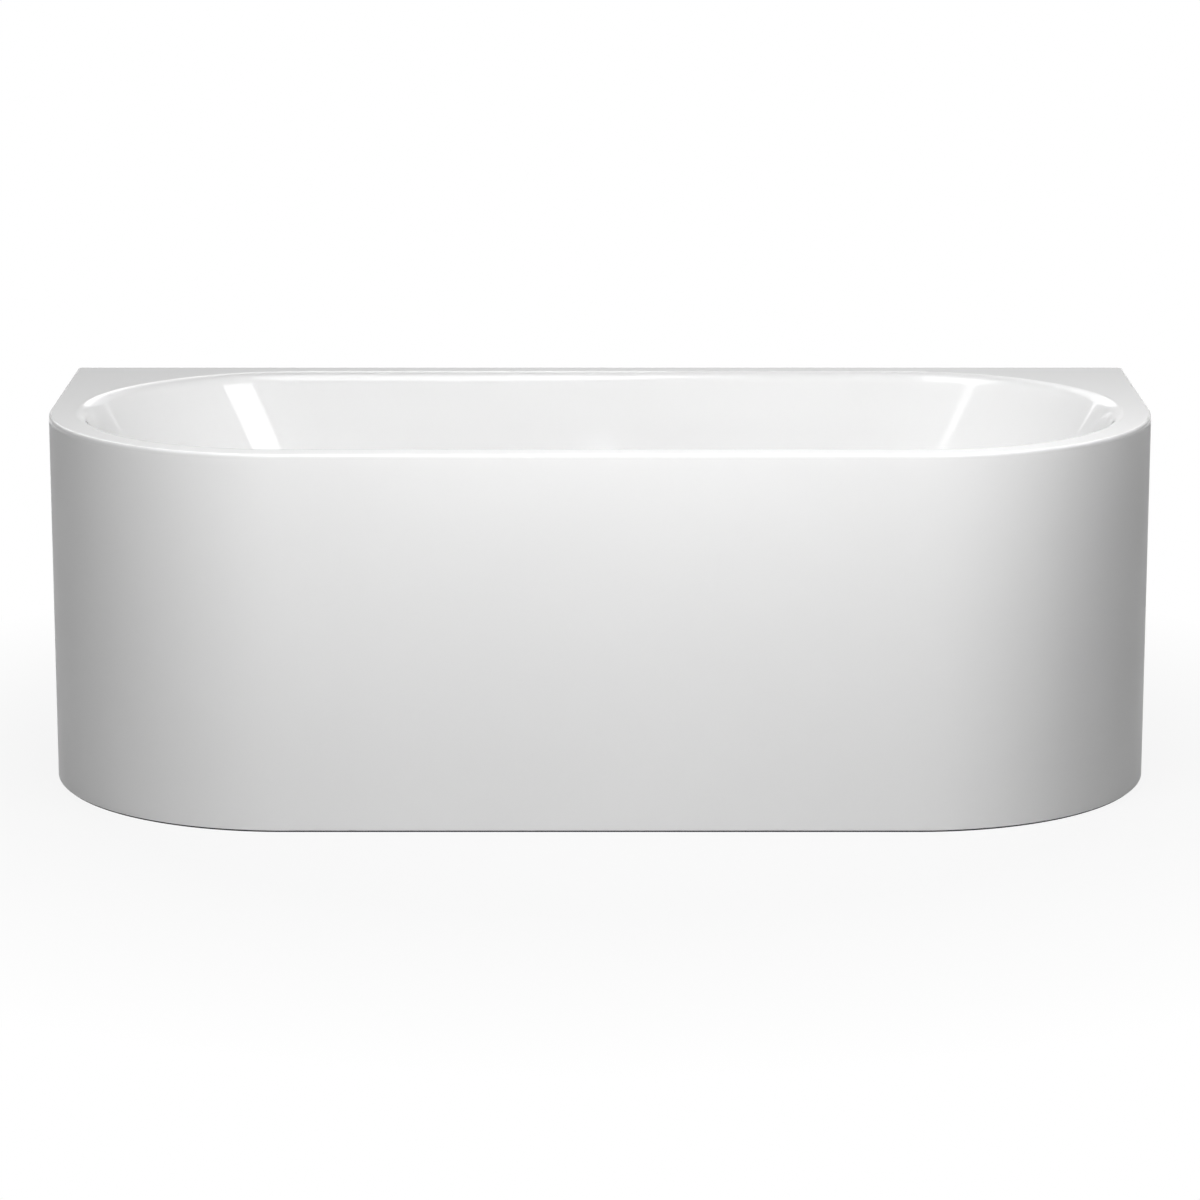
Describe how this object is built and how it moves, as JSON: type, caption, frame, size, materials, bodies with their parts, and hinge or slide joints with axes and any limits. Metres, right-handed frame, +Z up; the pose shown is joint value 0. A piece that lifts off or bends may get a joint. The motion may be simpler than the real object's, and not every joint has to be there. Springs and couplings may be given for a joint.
{
  "type": "bathtub",
  "caption": "Double-ended bathtub for one wall, with a wrap-around front panel, levelling feet, overflow, push-open waste and trap.",
  "frame": {"origin": "on the floor of the room, in the middle of the bath's plan", "axes": "+Z up, +X along the bath to the right seen from the front, +Y towards the wall"},
  "size_m": [1.7, 0.75, 0.575],
  "materials": {
    "acrylic": "gloss",
    "panel_acrylic": "satin",
    "dark_rubber": "matte",
    "track_aluminium": "satin",
    "timber": "matte",
    "steel": "satin",
    "foot_plastic": "matte",
    "chrome": "polished",
    "brass": "satin",
    "pipe_plastic": "satin",
    "nut_plastic": "matte"
  },
  "bodies": {
    "bath": {"tub_shell": "acrylic", "apron_panel": "panel_acrylic", "base_seal": "dark_rubber", "overflow_gasket": "dark_rubber", "upper_waste_gasket": "dark_rubber", "lower_waste_gasket": "dark_rubber", "panel_frame": "track_aluminium", "rim_battens": "timber", "base_board": "timber", "panel_clips": "steel", "batten_screws": "steel", "wall_anchors": "steel", "foot_rails": "steel", "rail_screws": "steel", "rail_nuts": "steel", "lock_nuts": "steel", "overflow_cover": "chrome", "overflow_screw": "chrome", "overflow_ring": "chrome", "waste_flange": "chrome", "plug_cartridge": "brass", "overflow_body": "pipe_plastic", "overflow_pipe": "pipe_plastic", "waste_body": "pipe_plastic", "trap_body": "pipe_plastic", "outlet_pipe": "pipe_plastic", "pipe_nuts": "nut_plastic", "trap_cap": "nut_plastic"},
    "plug": {"plug_cap": "chrome", "plug_seal": "dark_rubber", "plug_stem": "brass"},
    "pad_1": {"foot_pad_1": "foot_plastic"},
    "rod_1": {"foot_rod_1": "steel"},
    "pad_2": {"foot_pad_2": "foot_plastic"},
    "rod_2": {"foot_rod_2": "steel"},
    "pad_3": {"foot_pad_3": "foot_plastic"},
    "rod_3": {"foot_rod_3": "steel"},
    "pad_4": {"foot_pad_4": "foot_plastic"},
    "rod_4": {"foot_rod_4": "steel"}
  },
  "joints": [
    {"name": "plug_lift", "type": "slide", "parent": "bath", "child": "plug", "axis": [0, 0, 1], "range_m": [0, 0.008]},
    {"name": "foot_1_height", "type": "slide", "parent": "bath", "child": "pad_1", "axis": [0, 0, 1], "range_m": [-0.015, 0.01]},
    {"name": "foot_1_turn", "type": "hinge", "parent": "pad_1", "child": "rod_1", "pos_m": [-0.35, -0.19, 0.05], "axis": [0, 0, 1], "range_deg": [-3601, 2401]},
    {"name": "foot_2_height", "type": "slide", "parent": "bath", "child": "pad_2", "axis": [0, 0, 1], "range_m": [-0.015, 0.01]},
    {"name": "foot_2_turn", "type": "hinge", "parent": "pad_2", "child": "rod_2", "pos_m": [0.35, -0.19, 0.05], "axis": [0, 0, 1], "range_deg": [-3601, 2401]},
    {"name": "foot_3_height", "type": "slide", "parent": "bath", "child": "pad_3", "axis": [0, 0, 1], "range_m": [-0.015, 0.01]},
    {"name": "foot_3_turn", "type": "hinge", "parent": "pad_3", "child": "rod_3", "pos_m": [-0.35, 0.19, 0.05], "axis": [0, 0, 1], "range_deg": [-3601, 2401]},
    {"name": "foot_4_height", "type": "slide", "parent": "bath", "child": "pad_4", "axis": [0, 0, 1], "range_m": [-0.015, 0.01]},
    {"name": "foot_4_turn", "type": "hinge", "parent": "pad_4", "child": "rod_4", "pos_m": [0.35, 0.19, 0.05], "axis": [0, 0, 1], "range_deg": [-3601, 2401]}
  ],
  "couplings": [
    {"joint": "foot_1_turn", "follows": "foot_1_height", "rad_per_m": 4188.8},
    {"joint": "foot_2_turn", "follows": "foot_2_height", "rad_per_m": 4188.8},
    {"joint": "foot_3_turn", "follows": "foot_3_height", "rad_per_m": 4188.8},
    {"joint": "foot_4_turn", "follows": "foot_4_height", "rad_per_m": 4188.8}
  ]
}
